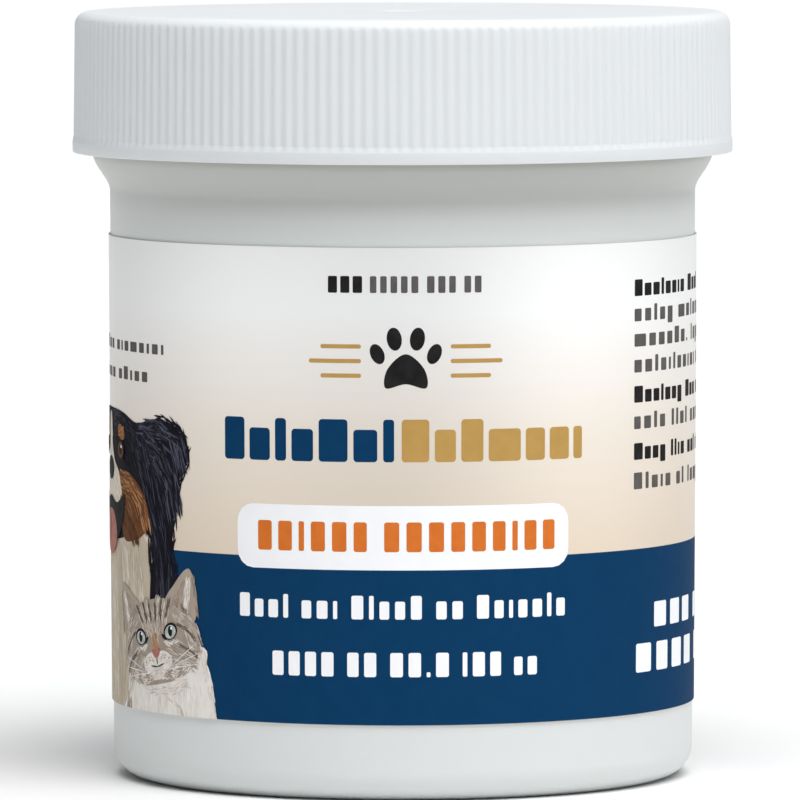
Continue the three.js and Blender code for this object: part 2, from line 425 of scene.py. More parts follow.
def merged_with(bm, ridge):
    """Joins a ridge to a wall by one exact union, so that the piece stays a single skin."""
    holders = []
    for part in (bm, ridge):
        mesh = bpy.data.meshes.new("part")
        part.to_mesh(mesh)
        part.free()
        holders.append(bpy.data.objects.new("part", mesh))
        scene.collection.objects.link(holders[-1])
    wall, tool = holders
    union = wall.modifiers.new("union", "BOOLEAN")
    union.operation = "UNION"
    union.solver = "EXACT"
    union.object = tool
    bpy.context.view_layer.update()
    depsgraph = bpy.context.evaluated_depsgraph_get()
    result = bpy.data.meshes.new_from_object(wall.evaluated_get(depsgraph))
    whole = bmesh.new()
    whole.from_mesh(result)
    for holder in holders:
        bpy.data.meshes.remove(holder.data)
    bpy.data.meshes.remove(result)
    return whole


print("one turn climbs", round(THREAD_PITCH, 3), "mm")

# %% [markdown]
# ## The screw cap
# The cap's outline is turned in very many steps, six to each rib. Pushing part of those
# columns inwards then gives the ribs a soft, wave-like section. The grooves start above the
# smooth band at the foot, and they run out by themselves where the rounded top corner passes
# inside their floor, which is how the cutter that makes such a mould leaves them.

# %% Cap
RIBS = 180
COLUMNS_PER_RIB = 6
RIB_DEPTH = 0.14
cap_low, cap_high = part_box("screw_cap")
CAP_TOP = cap_high.z / MM
SKIRT_LOW = cap_low.z / MM
BAND_RADIUS = cap_high.x / MM
RIB_RADIUS_LOW = BAND_RADIUS - 0.09
RIB_RADIUS_HIGH = BAND_RADIUS - 0.22
BAND_TOP = SKIRT_LOW + 0.97
RIB_FOOT = SKIRT_LOW + 1.42
CAP_CORNER = 1.1
BORE_RADIUS = 26.45
SKIRT_CORE = 0.5
PANEL_UNDERSIDE = CAP_TOP - 1.2
GATE_DEPTH = 0.1


def cut_grooves(bm):
    """Pushes the skirt's outer columns inwards, in a wave that deepens above the band."""
    for vert in bm.verts:
        height = vert.co.z / MM
        if height < BAND_TOP + 0.01:
            continue
        radius = math.hypot(vert.co.x, vert.co.y) / MM
        wave = 0.5 - 0.5 * math.cos(RIBS * math.atan2(vert.co.y, vert.co.x))
        run_in = min(1, (height - BAND_TOP) / (RIB_FOOT - BAND_TOP))
        share = (height - RIB_FOOT) / (CAP_TOP - RIB_FOOT)
        crest = RIB_RADIUS_LOW + (RIB_RADIUS_HIGH - RIB_RADIUS_LOW) * min(1, max(0, share))
        groove = crest - RIB_DEPTH * wave * run_in
        if BORE_RADIUS + SKIRT_CORE < radius and groove < radius:
            vert.co.x *= groove / radius
            vert.co.y *= groove / radius


cap_path = rounded([
    (0, PANEL_UNDERSIDE, 0),
    (BORE_RADIUS, PANEL_UNDERSIDE, 0.4),
    (BORE_RADIUS, SKIRT_LOW + 0.4, 0.2),
    (BORE_RADIUS + 0.4, SKIRT_LOW, 0.1),
    (BAND_RADIUS, SKIRT_LOW, 0.12),
    (BAND_RADIUS, BAND_TOP, 0.1),
    (RIB_RADIUS_LOW, RIB_FOOT, 0.1),
    (RIB_RADIUS_HIGH, CAP_TOP, CAP_CORNER),
    (1.9, CAP_TOP, 0.1),
    (1.6, CAP_TOP - GATE_DEPTH, 0.08),
    (0.5, CAP_TOP - GATE_DEPTH, 0.08),
    (0.4, CAP_TOP - 0.04, 0.04),
    (0, CAP_TOP - 0.04, 0),
])
cap_bm = turned(cap_path, RIBS * COLUMNS_PER_RIB)
cut_grooves(cap_bm)
cap_bm = merged_with(cap_bm, thread_sweep(
    root_radius=BORE_RADIUS + THREAD_ANCHOR, root_width=2.0, crest_radius=25.4, crest_width=0.8,
    start_height=54.8))
finished("cap_shell", cap_bm, "cap", cap_plastic, "screw_cap")

# %% [markdown]
# ## The jar
# The jar is turned in one go: the recessed base with its gate mark, the round heel, the wall,
# which tapers by a quarter of a millimetre, the flare up to the shoulder bead, the neck, the
# rim and the whole inside. The flare is a soft S, so it is drawn as a Bezier curve between
# the wall and the bead.

# %% Jar
jar_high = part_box("jar_body")[1]
RIM_HEIGHT = jar_high.z / MM
WALL_LOW = 24.42
WALL_HIGH = 24.66
FLARE_START = 49.3
HEEL = 2.5
WALL = 1.2
BEAD_RADIUS = jar_high.x / MM
BEAD_TOP = 53.2
NECK_RADIUS = 25.05
MOUTH_RADIUS = 23.75
FLOOR_HEIGHT = 2.1
PUSH_UP = 0.6
FLARE_CURVE = (
    (WALL_HIGH, FLARE_START), (WALL_HIGH, 50.5), (BEAD_RADIUS, 51.3),
    (BEAD_RADIUS, BEAD_TOP - 0.2))

flare = [
    Vector((point.x, point.y))
    for point in geometry.interpolate_bezier(*map(Vector, FLARE_CURVE), 14)
]
outside_low = rounded([
    (0, PUSH_UP + 0.12, 0), (1.1, PUSH_UP + 0.12, 0.1), (1.3, PUSH_UP, 0.1),
    (18.9, PUSH_UP, 0.4), (19.6, 0, 0.25),
    (WALL_LOW, 0, HEEL), (WALL_HIGH, FLARE_START, 0),
])
outside_high = rounded([
    (BEAD_RADIUS, BEAD_TOP - 0.2, 0), (BEAD_RADIUS, BEAD_TOP, 0.15),
    (NECK_RADIUS, BEAD_TOP, 0.35), (NECK_RADIUS, RIM_HEIGHT, 0.4),
    (MOUTH_RADIUS, RIM_HEIGHT, 0.3), (MOUTH_RADIUS, BEAD_TOP, 3),
    (WALL_HIGH - WALL, FLARE_START - 2, 3), (WALL_LOW - WALL, FLOOR_HEIGHT, 2.2),
    (0, FLOOR_HEIGHT, 0),
])
jar_path = outside_low[:-1] + flare[:-1] + outside_high
jar_bm = merged_with(turned(jar_path, 240), thread_sweep(
    root_radius=NECK_RADIUS - THREAD_ANCHOR, root_width=2.2, crest_radius=26.2, crest_width=0.9,
    start_height=56.3))
finished("jar_shell", jar_bm, "jar", jar_plastic, "jar_body")

# %% [markdown]
# ## The sealing disc
# A disc punched from foamed sheet lies under the cap's panel. Its cut edge is square, and the
# jar's rim has pressed a shallow ring into its underside. The foam is matt and full of fine
# closed cells, which fine noise in the relief stands in for at this size.

# %% Disc
liner_low, liner_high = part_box("cap_liner")
DISC_LOW = liner_low.z / MM
DISC_HIGH = liner_high.z / MM
DISC_RADIUS = liner_high.x / MM
PRESSED = 0.07
FOAM_WHITE = (0.86, 0.86, 0.84)
FOAM_SHADE = (0.8, 0.8, 0.78)

foam = base_material("foamed white sheet", FOAM_WHITE, 0.75)
vary_colour(foam, 900, FOAM_WHITE, FOAM_SHADE)
add_relief(foam, 5200, 0.03, detail=1.0)

disc_path = rounded([
    (0, DISC_LOW, 0), (23.6, DISC_LOW, 0.1), (23.8, DISC_LOW + PRESSED, 0.05),
    (24.8, DISC_LOW + PRESSED, 0.05), (25.0, DISC_LOW, 0.1), (DISC_RADIUS, DISC_LOW, 0.12),
    (DISC_RADIUS, DISC_HIGH, 0.12), (0, DISC_HIGH, 0),
])
finished("sealing_disc", turned(disc_path, 144), "liner", foam, "cap_liner")

# %% [markdown]
# ## The powder
# Powder settles nearly level, then slumps and cracks a little when the jar is carried. Its
# top is a turned surface whose points are lifted by fractal noise: broad mounds first, then
# small lumps. The material is dead matt, and its relief is as fine as the grains.

# %% Powder
powder_low, powder_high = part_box("powder_fill")
POWDER_RADIUS = powder_high.x / MM
POWDER_TOP = powder_high.z / MM
POWDER_EDGE = POWDER_TOP - 0.8
POWDER_RINGS = 40
POWDER_LIGHT = (0.82, 0.77, 0.65)
POWDER_DARK = (0.72, 0.66, 0.53)
MEAN_LIFT = 0.35
MOUND_HEIGHT = 0.3
LUMP_HEIGHT = 0.12

powder = base_material("fine off-white powder", POWDER_LIGHT, 0.95)
vary_colour(powder, 420, POWDER_LIGHT, POWDER_DARK)
add_relief(powder, 3800, 0.12, detail=6.0)

crown = [
    (POWDER_RADIUS * (1 - ring / POWDER_RINGS), POWDER_EDGE, 0) for ring in range(1, POWDER_RINGS)
]
powder_bm = turned(rounded([
    (0, powder_low.z / MM, 0), (WALL_LOW - WALL - 0.1, powder_low.z / MM, 2.2),
    (POWDER_RADIUS, POWDER_EDGE, 0), *crown, (0, POWDER_EDGE, 0),
]), 168)
for vert in powder_bm.verts:
    if vert.co.z / MM > POWDER_EDGE - 0.1:
        from_wall = 1 - math.hypot(vert.co.x, vert.co.y) / (POWDER_RADIUS * MM)
        mound = noise.fractal(vert.co * 90, 1.0, 2.0, 3)
        lumps = noise.fractal(vert.co * 700, 0.9, 2.0, 4)
        lift = MEAN_LIFT + MOUND_HEIGHT * mound + LUMP_HEIGHT * lumps
        vert.co.z += MM * max(0, lift) * min(1, 0.3 + 3 * from_wall)
finished("powder_heap", powder_bm, "jar", powder, "powder_fill", sharp=80)

# %% [markdown]
# ## The label
# The label is one strip of coated paper, wrapped round the wall and stopped just short of
# itself at the back. Its ground is printed from white at the top to a warm beige lower down.
# That soft change suits the shader: the height on the piece drives a colour ramp. Crisp
# shapes are not left to the shader. They are thin layers of ink with real outlines.

# %% Label paper
label_low, label_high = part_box("wrap_label")
LABEL_LOW = label_low.z / MM
LABEL_HIGH = label_high.z / MM
LABEL_RADIUS = label_high.x / MM
LABEL_THICKNESS = 0.12
WALL_TAPER = (WALL_HIGH - WALL_LOW) / (FLARE_START - HEEL)
SEAM_GAP = 1.2
LABEL_HALF = math.pi * LABEL_RADIUS - SEAM_GAP / 2
FADE_TOP = 40.3
FADE_LOW = 21.0
PAPER_WHITE = (0.95, 0.95, 0.95)
PAPER_CREAM = (0.84, 0.77, 0.685)
PAPER_BEIGE = (0.765, 0.645, 0.515)
PAPER_GRAIN = (1500, 0.01, 0.6)
# Painted highlights and shade on the paper: greys that multiply its colour, round from the front (0) to
# the back (1), brightest at about 38 degrees each side.
PAINTED_HIGHLIGHT_STOPS = [(0.0, 0.83), (0.21, 1.0), (0.40, 0.93), (1.0, 0.93)]


def label_radius(height):
    """The label follows the wall, which is a little narrower lower down."""
    return LABEL_RADIUS - WALL_TAPER * (LABEL_HIGH - height)


def with_painted_highlights(material, colour):
    """Painted highlights and shade: darkens a colour a little in the middle and at the sides, leaving two
    upright painted highlights between them.
    """
    point = point_of(material)
    angle = maths(material, "ARCTAN2", point["X"], maths(material, "MULTIPLY", point["Y"], -1))
    half_turns = maths(material, "DIVIDE", maths(material, "ABSOLUTE", angle), math.pi)
    tone = ramp(material, half_turns, [(at, (grey,) * 3) for at, grey in PAINTED_HIGHLIGHT_STOPS])
    tone.node.color_ramp.interpolation = "EASE"
    product = add_node(material, "ShaderNodeMix")
    product.data_type = "RGBA"
    product.blend_type = "MULTIPLY"
    product.inputs["Factor"].default_value = 1
    link(material, colour, product.inputs["A"])
    link(material, tone, product.inputs["B"])
    return product.outputs["Result"]


label_paper = base_material(
    "printed label paper", PAPER_WHITE, 0.5, Coat_Weight=0.35, Coat_Roughness=0.22, IOR=1.45)
add_relief(label_paper, *PAPER_GRAIN)
label_fade = new_range(label_paper, point_of(label_paper)["Z"], FADE_TOP * MM, FADE_LOW * MM)
label_colour = ramp(
    label_paper, label_fade, [(0.0, PAPER_WHITE), (0.5, PAPER_CREAM), (1.0, PAPER_BEIGE)])
# The paper's printed colour is multiplied by two upright painted highlights, with painted shade in the
# middle and at the sides.
coloured(label_paper, with_painted_highlights(label_paper, label_colour))
print("label paper ready, from", LABEL_LOW, "to", LABEL_HIGH, "mm high")

# %% Label strip
label_bm = bmesh.new()
label_bm.faces.new([
    label_bm.verts.new((label_radius(height) * MM - inset * MM, 0, height * MM))
    for height, inset in (
        (LABEL_LOW, LABEL_THICKNESS), (LABEL_LOW, 0), (LABEL_HIGH, 0),
        (LABEL_HIGH, LABEL_THICKNESS))
])
label_sweep = FULL_TURN - SEAM_GAP / LABEL_RADIUS
bmesh.ops.spin(
    label_bm, geom=label_bm.verts[:] + label_bm.edges[:] + label_bm.faces[:], cent=(0, 0, 0),
    axis=(0, 0, 1), dvec=(0, 0, 0), angle=label_sweep, steps=300)
bmesh.ops.rotate(
    label_bm, verts=label_bm.verts, cent=(0, 0, 0),
    matrix=Matrix.Rotation(math.pi / 2 + SEAM_GAP / 2 / LABEL_RADIUS, 3, "Z"))
bmesh.ops.recalc_face_normals(label_bm, faces=label_bm.faces)
finished("paper_label", label_bm, "jar", label_paper, "wrap_label")

# %% [markdown]
# ## Drawing on the label
# Each ink starts as flat shapes, x across the front and z up, in millimetres. The drawing is
# cut into narrow upright strips, bent round the label, and given the thickness of a layer of
# ink. Later inks lie on earlier ones, as on a press. The label holds no writing: rows of plain
# rounded blocks keep the rhythm and weight of its lines, and the mark is a plain paw print.

# %% Ink helpers
INK_STEP = 0.8
INK_THICKNESS = 0.005
INK_START = 0.004
STROKE_LIFT = 0.000015
TRIM = 0.02


def ink(name, colour, other=None, scale=900):
    """Matt printing ink, which shines much less than the paper between its shapes. With another
    colour it drifts softly between the two."""
    material = base_material(name, colour, 0.6, Specular_IOR_Level=0.03)
    add_relief(material, *PAPER_GRAIN)
    if other:
        vary_colour(material, scale, colour, other)
    return material


def rectangle(bm, left, low, width, height, rounding=0.0):
    """A flat block, with round corners if a rounding is given."""
    made = bmesh.ops.create_grid(
        bm, x_segments=1, y_segments=1, size=0.5,
        matrix=Matrix.Translation((left + width / 2, 0, low + height / 2))
        @ Matrix.Rotation(math.pi / 2, 4, "X") @ Matrix.Diagonal((width, height, 1, 1)))
    if rounding:
        bmesh.ops.bevel(
            bm, geom=made["verts"], offset=rounding, segments=4, profile=0.5,
            affect="VERTICES", material=-1)


def toned(bm, face, tone):
    """Stores a face's tone, and lifts it a hair's breadth above every face drawn before it."""
    face[bm.faces.layers.float["tone"]] = tone
    for vert in face.verts:
        vert.co.y = len(bm.faces) * STROKE_LIFT


def ellipse(bm, across, up, half_width, half_height, tilt=0.0, sides=28, tone=None):
    """A flat ellipse. Its tilt is in degrees, clockwise."""
    made = bmesh.ops.create_circle(
        bm, cap_ends=True, segments=sides, radius=1,
        matrix=Matrix.Translation((across, 0, up)) @ Matrix.Rotation(math.radians(tilt), 4, "Y")
        @ Matrix.Rotation(math.pi / 2, 4, "X") @ Matrix.Diagonal((half_width, half_height, 1, 1)))
    if tone is not None:
        toned(bm, made["verts"][0].link_faces[0], tone)


def pairs(bm, middle_line, *shapes, **kinds):
    """Ellipses on the left of a middle line, then their mirror images on the right."""
    for side in (-1, 1):
        for across, up, half_width, half_height, tilt in shapes:
            ellipse(
                bm, middle_line + side * across, up, half_width, half_height, side * tilt, **kinds)


def blob(bm, points, steps=6, tone=None):
    """A closed smooth outline through a few given points."""
    path = []
    count = len(points)
    for i in range(count):
        a, b, c, d = (Vector(points[(i + k) % count]) for k in (-1, 0, 1, 2))
        for step in range(steps):
            t = step / steps
            path.append(0.5 * (
                2 * b + (c - a) * t + (2 * a - 5 * b + 4 * c - d) * t ** 2
                + (3 * b - a - 3 * c + d) * t ** 3))
    face = bm.faces.new([bm.verts.new((point.x, 0, point.y)) for point in path])
    if tone is not None:
        toned(bm, face, tone)


def wrapped(bm, layer):
    """Trims a flat drawing at the label's foot and bends it round, as the given layer of ink."""
    bmesh.ops.triangulate(bm, faces=bm.faces)
    bmesh.ops.bisect_plane(
        bm, geom=bm.verts[:] + bm.edges[:] + bm.faces[:], dist=MERGE, clear_outer=True,
        plane_co=(0, 0, LABEL_LOW + TRIM), plane_no=(0, 0, -1))
    first = math.floor(min(vert.co.x for vert in bm.verts) / INK_STEP)
    last = math.ceil(max(vert.co.x for vert in bm.verts) / INK_STEP)
    for cut in range(first, last + 1):
        bmesh.ops.bisect_plane(
            bm, geom=bm.verts[:] + bm.edges[:] + bm.faces[:], dist=MERGE,
            plane_co=(cut * INK_STEP, 0, 0), plane_no=(1, 0, 0))
    for vert in bm.verts:
        radius = label_radius(vert.co.z) + INK_START + INK_THICKNESS * layer + vert.co.y
        angle = vert.co.x / LABEL_RADIUS
        vert.co = Vector((radius * math.sin(angle), -radius * math.cos(angle), vert.co.z)) * MM
    bmesh.ops.recalc_face_normals(bm, faces=bm.faces)
    for face in bm.faces:
        outwards = face.calc_center_median() * Vector((1, 1, 0))
        if face.normal.dot(outwards) < 0:
            face.normal_flip()
    bmesh.ops.solidify(bm, geom=bm.faces, thickness=-INK_THICKNESS * MM)
    return bm


def printed(name, bm, material, layer):
    """Makes a flat drawing one layer of print. The layers are counted in thicknesses of ink. A
    drawing of many strokes is a little thick itself, so the next one starts a few layers up."""
    finished(name, wrapped(bm, layer), "jar", material)


print("the label is", round(2 * LABEL_HALF, 1), "mm long")

# %% [markdown]
# ## Rows of blocks
# A line of print is a few kinds of block: tall, low, hanging, narrow and wide. A short pattern
# says their order. The widths vary a little, from a seeded random source, so that a line looks
# set and not stamped, and it comes out the same on every run.

# %% Block rows
BLOCKS = {
    "H": (0.60, 0.0, 1.0),
    "x": (0.50, 0.0, 0.76),
    "l": (0.24, 0.0, 1.0),
    "i": (0.22, 0.0, 0.76),
    "p": (0.50, -0.25, 0.76),
    "d": (0.50, 0.0, 1.0),
    "m": (0.80, 0.0, 0.76),
    ".": (0.20, 0.0, 0.2),
}
SPACE = 0.42
dice = random.Random(7)


def block_row(bm, pattern, left, base, size, width=None, gap=0.13, stretch=1.0):
    """Sets the pattern from left on a base line. With a width, the row is fitted to it."""
    cells = [(kind, dice.uniform(0.92, 1.08)) for kind in pattern]
    natural = sum(SPACE if kind == " " else BLOCKS[kind][0] * vary + gap for kind, vary in cells)
    squeeze = (width + gap * size) / (natural * size) if width else stretch
    at = left
    for kind, vary in cells:
        if kind == " ":
            at += SPACE * size * squeeze
            continue
        wide, low, high = BLOCKS[kind]
        block_width = wide * vary * size * squeeze
        rectangle(
            bm, at, base + low * size, block_width, (high - low) * size,
            rounding=min(block_width, size * 0.3) * 0.28)
        at += block_width + gap * size * squeeze


print("block kinds:", len(BLOCKS))

# %% Navy ink
BAND_HIGH = 20.15
BAND_HALF = LABEL_HALF - 0.15
TITLE_BASE = 28.1
TITLE_SIZE = 3.5
navy = ink("navy ink", (0.0032, 0.040, 0.112), (0.0040, 0.043, 0.117), scale=700)

navy_bm = bmesh.new()
rectangle(navy_bm, -BAND_HALF, LABEL_LOW + TRIM, 2 * BAND_HALF, BAND_HIGH - LABEL_LOW)
block_row(navy_bm, "dxlxHxl", -15.75, TITLE_BASE, TITLE_SIZE, width=15.1, gap=0.12)
printed("print_navy", navy_bm, navy, layer=0)

# %% [markdown]
# ## Gold, white and orange
# The mark is a paw print between two sets of fine rules, drawn from ellipses and rectangles.
# The white panel crosses the upper edge of the navy band, and the orange row lies on it.

# %% Gold ink
MARK_MIDDLE = 0.25
MARK_HEIGHT = 36.4
RULE_WIDTH = 0.34
RULE_SPACING = 1.2
RULE_START = 3.7
gold = ink("gold-brown ink", (0.47, 0.285, 0.085), (0.50, 0.305, 0.093))

gold_bm = bmesh.new()
block_row(gold_bm, "Hxdmxxi", -0.1, TITLE_BASE, TITLE_SIZE, width=16.0, gap=0.12)
for side in (-1, 1):
    for step, reach in ((-1, 3.4), (0, 4.4), (1, 3.4)):
        inner = MARK_MIDDLE + side * RULE_START
        outer = inner + side * reach
        foot = MARK_HEIGHT - RULE_WIDTH / 2 + step * RULE_SPACING
        rectangle(gold_bm, min(inner, outer), foot, reach, RULE_WIDTH, rounding=0.15)
printed("print_gold", gold_bm, gold, layer=0)

# %% White ink
PANEL_LOW = 19.2
PANEL_HALF = 14.5
PANEL_HEIGHT = 5.3
white = ink("opaque white ink", (0.92, 0.93, 0.95), (0.90, 0.91, 0.93), scale=500)

white_bm = bmesh.new()
rectangle(white_bm, -PANEL_HALF, PANEL_LOW, 2 * PANEL_HALF, PANEL_HEIGHT, rounding=1.5)
block_row(white_bm, "Hxxl xxi Hlxxd xx Hxixxlx", -14.3, 15.15, 1.95, width=28.4, gap=0.28)
block_row(white_bm, "HHHH HH HH.H lHH xx", -11.2, 10.4, 2.0, width=22.6, gap=0.28)
block_row(white_bm, "HHH HHHH HH", 25.1, 13.5, 2.1, gap=0.25, stretch=1.6)
block_row(white_bm, "HHHH HHH HHHHH", 22.4, 9.85, 2.4, gap=0.25, stretch=1.5)
block_row(white_bm, "Hxxlx xx Hlxx", -73.4, 13.6, 1.1, width=16.0, gap=0.28)
block_row(white_bm, "Hxlxi Hxpxx xl", -73.4, 11.6, 1.1, width=17.2, gap=0.28)
printed("print_white", white_bm, white, layer=1)

# %% Orange ink
orange = ink("orange ink", (0.64, 0.16, 0.026), (0.68, 0.18, 0.032))
orange_bm = bmesh.new()
block_row(orange_bm, "HHlHHH HHHHHHlHH", -12.5, 20.7, 2.45, width=25.5, gap=0.3)
printed("print_orange", orange_bm, orange, layer=2)

# %% [markdown]
# ## Small print
# The front has one short dark row near the top. The right side holds a paragraph whose bold
# rows start its three parts. The left side holds two rows above the pets and two small blocks
# of rows beyond them, and the back has a plain row of bars in a white field.

# %% Small print
black = ink("black ink", (0.014, 0.013, 0.014), (0.022, 0.021, 0.022))
grey = ink("dark grey ink", (0.10, 0.095, 0.092), (0.12, 0.114, 0.11))

TOP_ROW = 42.0
ROW_SIZE = 1.38
SMALL_SIZE = 1.1
PARAGRAPH_LEFT = 22.0
PARAGRAPH = (
    (41.2, True, "Hxxlxxix Hxxl"),
    (39.1, False, "xxlxp mxlxxi lxx"),
    (37.0, False, "mxxxdx. lxpxl xi"),
    (34.85, False, "xxlxilxxixi xl xx"),
    (32.35, True, "Hxxlxxp Hxx xx"),
    (30.15, False, "xxlx llxl xxx dxp"),
    (27.6, True, "Hxxp llix xxl xl"),
    (25.15, False, "Hlxix xl lxmpxilx"),
)
SIDE_ROWS = (
    (36.3, -22.9, 30.0, "Hxlxix xxpxxdlxx xixmxixi"), (33.9, -25.4, 27.5, "xxlxx xixlxl xxx xdixx"),
    (41.2, -54.8, 18.6, "Hxlxi xxpxm lxxi"), (39.4, -56.2, 17.2, "xxli xpxl xmxx"),
    (37.6, -55.4, 18.0, "mxxl xi xxdxp xxi"), (35.8, -60.0, 13.4, "xlxx pxxil"),
    (32.4, -55.6, 17.8, "Hxx lxmxi xlxxp"), (30.6, -57.8, 15.6, "xxdxi xl xxm"),
)
black_bm = bmesh.new()
grey_bm = bmesh.new()
block_row(black_bm, "HHH", -6.2, TOP_ROW, ROW_SIZE, width=2.85, gap=0.2)
block_row(grey_bm, "HHHHH HHH HH", -2.7, TOP_ROW, ROW_SIZE, width=9.1, gap=0.32)
for base, is_bold, pattern in PARAGRAPH:
    block_row(
        black_bm if is_bold else grey_bm, pattern, PARAGRAPH_LEFT, base, ROW_SIZE,
        gap=0.16 if is_bold else 0.26, stretch=1.4)
for base, right, length, pattern in SIDE_ROWS:
    block_row(grey_bm, pattern, right - length, base, SMALL_SIZE, width=length, gap=0.28)


def paw(bm, across, up, size):
    """One pad and four toes."""
    blob(bm, [
        (across, up + 0.14 * size), (across + 0.27 * size, up - 0.08 * size),
        (across + 0.3 * size, up - 0.36 * size), (across, up - 0.3 * size),
        (across - 0.3 * size, up - 0.36 * size), (across - 0.27 * size, up - 0.08 * size),
    ])
    pairs(
        bm, across, (0.17 * size, up + 0.36 * size, 0.11 * size, 0.17 * size, 8),
        (0.42 * size, up + 0.14 * size, 0.1 * size, 0.155 * size, 24))


paw(black_bm, MARK_MIDDLE, MARK_HEIGHT - 0.2, size=5.6)
printed("print_black", black_bm, black, layer=0)
printed("print_grey", grey_bm, grey, layer=0)

# %% Bar field at the back
FIELD_LEFT = 58.0
FIELD_LOW = 7.8
FIELD_WIDTH = 15.0
FIELD_HEIGHT = 10.2
FIELD_MARGIN = 1.2
BAR_WIDTHS = (0.2, 0.2, 0.4, 0.6)
BAR_GAPS = (0.2, 0.3, 0.5)

field_bm = bmesh.new()
rectangle(field_bm, FIELD_LEFT, FIELD_LOW, FIELD_WIDTH, FIELD_HEIGHT, rounding=0.4)
printed("print_bar_field", field_bm, white, layer=1)
bars_bm = bmesh.new()
bar_at = FIELD_LEFT + FIELD_MARGIN
while bar_at < FIELD_LEFT + FIELD_WIDTH - FIELD_MARGIN - 0.2:
    bar_width = dice.choice(BAR_WIDTHS)
    rectangle(
        bars_bm, bar_at, FIELD_LOW + FIELD_MARGIN, bar_width, FIELD_HEIGHT - 2 * FIELD_MARGIN)
    bar_at += bar_width + dice.choice(BAR_GAPS)
printed("print_bars", bars_bm, black, layer=2)

# %% [markdown]
# ## The two pets
# A drawn dog and cat sit on the left of the label. They are this lesson's own drawings, built
# up as a painter works: a flat shape for each patch of coat, then hundreds of short strokes
# combed along a few guide lines. Each stroke is one face with a tone of its own, kept in a face
# attribute, and the ink's colour ramp turns tones into colours. That gives a coat its light and
# dark hair without a picture file. A row of strokes is written as its guide line, the width of
# its band, the number, length and width of its strokes, their tones and how far they stray.


# %% Pet inks
FUR_UNEVEN = 0.16


def fur(name, stops):
    """Fur ink: the colour follows each stroke's tone, with a little noise along the hair."""
    material = ink(name, stops[0][1])
    tone = add_node(material, "ShaderNodeAttribute")
    tone.attribute_name = "tone"
    hair = own_noise(material, 1400, stretch=(1, 1, 0.3))
    uneven = maths(material, "MULTIPLY_ADD", hair, FUR_UNEVEN, tone.outputs["Fac"])
    coloured(material, ramp(material, maths(material, "SUBTRACT", uneven, FUR_UNEVEN / 2), stops))
    return material


black_fur = fur("black fur ink", [
    (0.0, (0.004, 0.004, 0.007)), (0.5, (0.014, 0.014, 0.022)), (1.0, (0.10, 0.105, 0.15))])
tan_fur = fur("tan fur ink", [
    (0.0, (0.035, 0.014, 0.008)), (0.5, (0.20, 0.08, 0.03)), (1.0, (0.52, 0.26, 0.12))])
cream_fur = fur("cream fur ink", [
    (0.0, (0.22, 0.175, 0.12)), (0.5, (0.52, 0.44, 0.335)), (1.0, (0.90, 0.84, 0.75))])
tabby_fur = fur("tabby fur ink", [
    (0.0, (0.07, 0.055, 0.045)), (0.35, (0.25, 0.20, 0.16)), (0.65, (0.50, 0.42, 0.35)),
    (1.0, (0.90, 0.87, 0.83))])
eye_ink = ink("pale eye ink", (0.36, 0.42, 0.39), (0.56, 0.61, 0.58), scale=2500)
pink = ink("nose and tongue ink", (0.38, 0.15, 0.12), (0.50, 0.22, 0.18), scale=2500)
print("fur inks ready")


# %% Drawing hair
def drawing():
    """An empty drawing whose faces hold a tone."""
    bm = bmesh.new()
    bm.faces.layers.float.new("tone")
    return bm


def mirrored(points, middle_line):
    """A right half, given from top to bottom, and its mirror image."""
    right = [(middle_line + across, up) for across, up in points]
    left = [(middle_line - across, up) for across, up in reversed(points) if across > 0]
    return right + left


def both_sides(points, middle_line):
    """The same outline on the left and on the right, each with its side, -1 or 1."""
    for side in (-1, 1):
        yield side, [(middle_line + side * across, up) for across, up in points]


def combed(bm, guide, spread, count, length, width, tones, stray=9, mirror_at=None):
    """Strokes of hair that lie along a guide line, inside a band of the given spread. With a
    mirror line, the guide is measured from it, and each stroke gets a twin on its other side."""
    sides = (1,) if mirror_at is None else (1, -1)
    for _ in range(count):
        place = dice.random() * (len(guide) - 1)
        leg = int(place)
        start = Vector(guide[leg])
        run = Vector(guide[leg + 1]) - start
        aside = Vector((run.y, -run.x)).normalized() * dice.uniform(-spread, spread) / 2
        at = start + run * (place - leg) + aside
        lean = math.degrees(math.atan2(run.x, run.y)) + dice.uniform(-stray, stray)
        reach = length / 2 * dice.uniform(0.7, 1.2)
        for side in sides:
            ellipse(
                bm, (mirror_at or 0) + side * at.x, at.y, width / 2, reach, side * lean, sides=6,
                tone=dice.uniform(*tones))


# %% Dog: chest
DOG = -35.2
DOG_EYE = 3.9
DOG_EYE_HEIGHT = 27.9
chest_bm = drawing()
blob(chest_bm, mirrored([
    (0, 22.0), (6.0, 21.8), (9.9, 20.0), (10.2, 16.4), (9.8, 12.0), (9.8, 5.4)], DOG), tone=0.55)
for across, darkest, lightest in ((1.2, 0.55, 0.85), (3.6, 0.4, 0.7), (6.0, 0.5, 0.9), (8.2, 0.45, 0.85)):
    combed(
        chest_bm, [(across * 0.8, 21.0), (across, 14.0), (across * 1.1, 6.0)], 2.6, 170, 2.0, 0.15,
        (darkest, lightest), mirror_at=DOG)
printed("print_dog_chest", chest_bm, cream_fur, layer=1)

